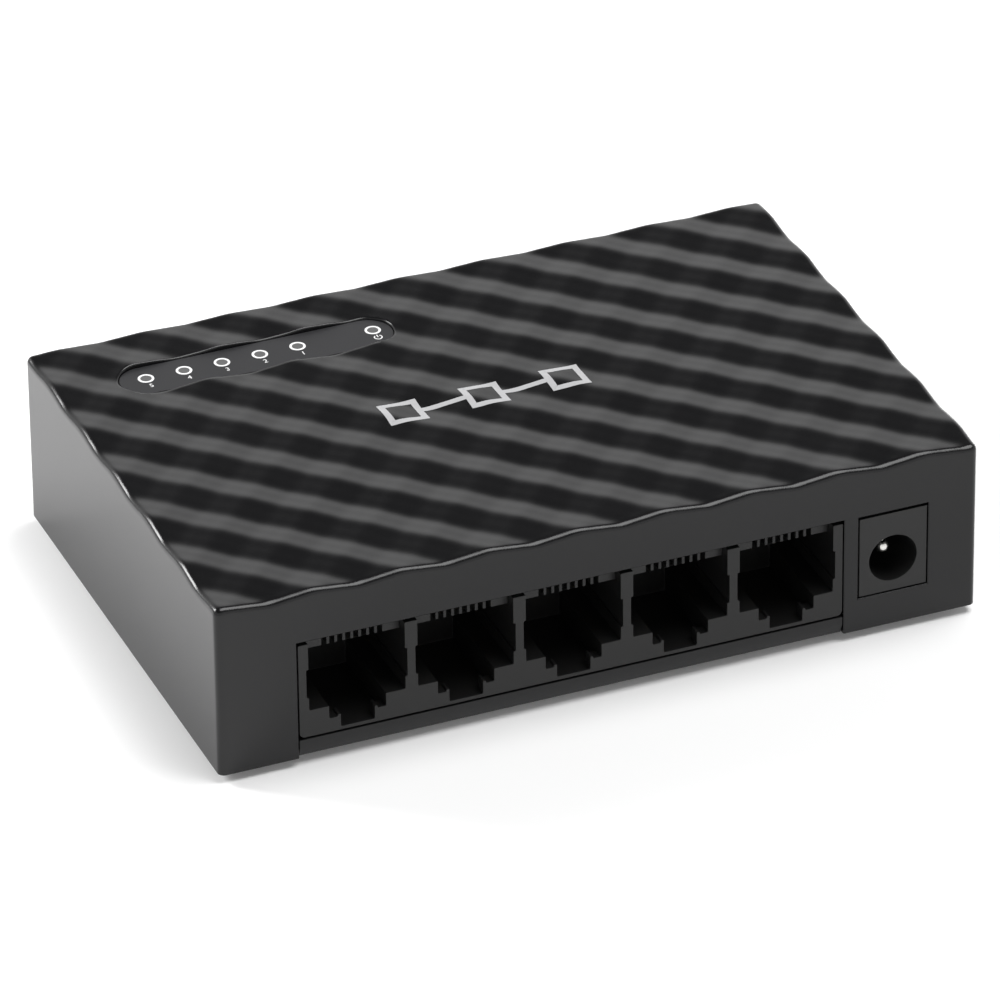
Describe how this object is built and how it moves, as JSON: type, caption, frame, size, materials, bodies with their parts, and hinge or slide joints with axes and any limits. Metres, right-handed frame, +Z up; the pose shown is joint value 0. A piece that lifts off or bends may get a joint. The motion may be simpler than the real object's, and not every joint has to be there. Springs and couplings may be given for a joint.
{
  "type": "desktop network switch",
  "caption": "Small black desktop network switch: wavy-topped plastic case with a row of RJ45 ports and a barrel power inlet on the front, and status lights on top.",
  "frame": {"origin": "on the surface that the rubber feet stand on, under the middle of the case", "axes": "+Z up, -Y out of the port side, +X to the right when looking at the ports"},
  "size_m": [0.099, 0.066, 0.0243],
  "materials": {
    "case_plastic": "finely textured satin black",
    "base_plastic": "satin black",
    "window_film": "semi-gloss tinted film",
    "board_laminate": "solder-mask gloss",
    "screw_steel": "zinc plated",
    "label_paper": "matt film",
    "foot_rubber": "matt",
    "light_body": "clear resin on white",
    "jack_plastic": "satin moulded",
    "inlet_plastic": "satin moulded",
    "contact_gold": "gold-plated wire",
    "pin_nickel": "nickel plated",
    "terminal_tin": "tin plated",
    "lead_tin": "matt tin",
    "moulded_epoxy": "matt moulded",
    "can_steel": "satin",
    "capacitor_sleeve": "gloss sleeve",
    "ferrite": "sintered grey",
    "resistor_film": "glazed",
    "capacitor_ceramic": "bare ceramic"
  },
  "bodies": {
    "switch": {"top_cover": "case_plastic", "bottom_cover": "base_plastic", "light_window": "window_film", "circuit_board": "board_laminate", "case_screws": "screw_steel", "board_screws": "screw_steel", "rating_label": "label_paper", "rubber_foot_1": "foot_rubber", "rubber_foot_2": "foot_rubber", "rubber_foot_3": "foot_rubber", "rubber_foot_4": "foot_rubber", "port_light_1": "light_body", "port_light_2": "light_body", "port_light_3": "light_body", "port_light_4": "light_body", "port_light_5": "light_body", "power_light": "light_body", "jack_block": "jack_plastic", "contact_carrier_1": "jack_plastic", "contact_carrier_2": "jack_plastic", "contact_carrier_3": "jack_plastic", "contact_carrier_4": "jack_plastic", "contact_carrier_5": "jack_plastic", "contact_wires_1": "contact_gold", "contact_wires_2": "contact_gold", "contact_wires_3": "contact_gold", "contact_wires_4": "contact_gold", "contact_wires_5": "contact_gold", "inlet_housing": "inlet_plastic", "inlet_pin": "pin_nickel", "inlet_sleeve_terminal": "terminal_tin", "inlet_switch_terminal": "terminal_tin", "transformer_1": "moulded_epoxy", "transformer_2": "moulded_epoxy", "transformer_3": "moulded_epoxy", "transformer_4": "moulded_epoxy", "transformer_5": "moulded_epoxy", "transformer_leads": "lead_tin", "switch_chip": "moulded_epoxy", "switch_chip_leads": "lead_tin", "crystal": "can_steel", "capacitor_1": "capacitor_sleeve", "capacitor_2": "capacitor_sleeve", "inductor": "ferrite", "regulator": "moulded_epoxy", "regulator_leads": "lead_tin", "diode": "moulded_epoxy", "chip_resistors": "resistor_film", "chip_capacitors": "capacitor_ceramic"},
    "inlet_leaf": {"inlet_spring": "terminal_tin"},
    "port_1_contacts": {"contact_springs_1": "contact_gold"},
    "port_2_contacts": {"contact_springs_2": "contact_gold"},
    "port_3_contacts": {"contact_springs_3": "contact_gold"},
    "port_4_contacts": {"contact_springs_4": "contact_gold"},
    "port_5_contacts": {"contact_springs_5": "contact_gold"}
  },
  "joints": [
    {"name": "port_1_contact_lift", "type": "hinge", "parent": "switch", "child": "port_1_contacts", "pos_m": [0.02419, -0.02983, 0.01598], "axis": [1, 0, 0], "range_deg": [0, 10], "stiffness_Nm_per_rad": 0.3},
    {"name": "port_2_contact_lift", "type": "hinge", "parent": "switch", "child": "port_2_contacts", "pos_m": [0.01022, -0.02983, 0.01598], "axis": [1, 0, 0], "range_deg": [0, 10], "stiffness_Nm_per_rad": 0.3},
    {"name": "port_3_contact_lift", "type": "hinge", "parent": "switch", "child": "port_3_contacts", "pos_m": [-0.00375, -0.02983, 0.01598], "axis": [1, 0, 0], "range_deg": [0, 10], "stiffness_Nm_per_rad": 0.3},
    {"name": "port_4_contact_lift", "type": "hinge", "parent": "switch", "child": "port_4_contacts", "pos_m": [-0.01772, -0.02983, 0.01598], "axis": [1, 0, 0], "range_deg": [0, 10], "stiffness_Nm_per_rad": 0.3},
    {"name": "port_5_contact_lift", "type": "hinge", "parent": "switch", "child": "port_5_contacts", "pos_m": [-0.03169, -0.02983, 0.01598], "axis": [1, 0, 0], "range_deg": [0, 10], "stiffness_Nm_per_rad": 0.3},
    {"name": "inlet_leaf_lift", "type": "hinge", "parent": "switch", "child": "inlet_leaf", "pos_m": [0.03835, -0.02248, 0.0146], "axis": [-1, 0, 0], "range_deg": [0, 4.5], "stiffness_Nm_per_rad": 0.2}
  ]
}
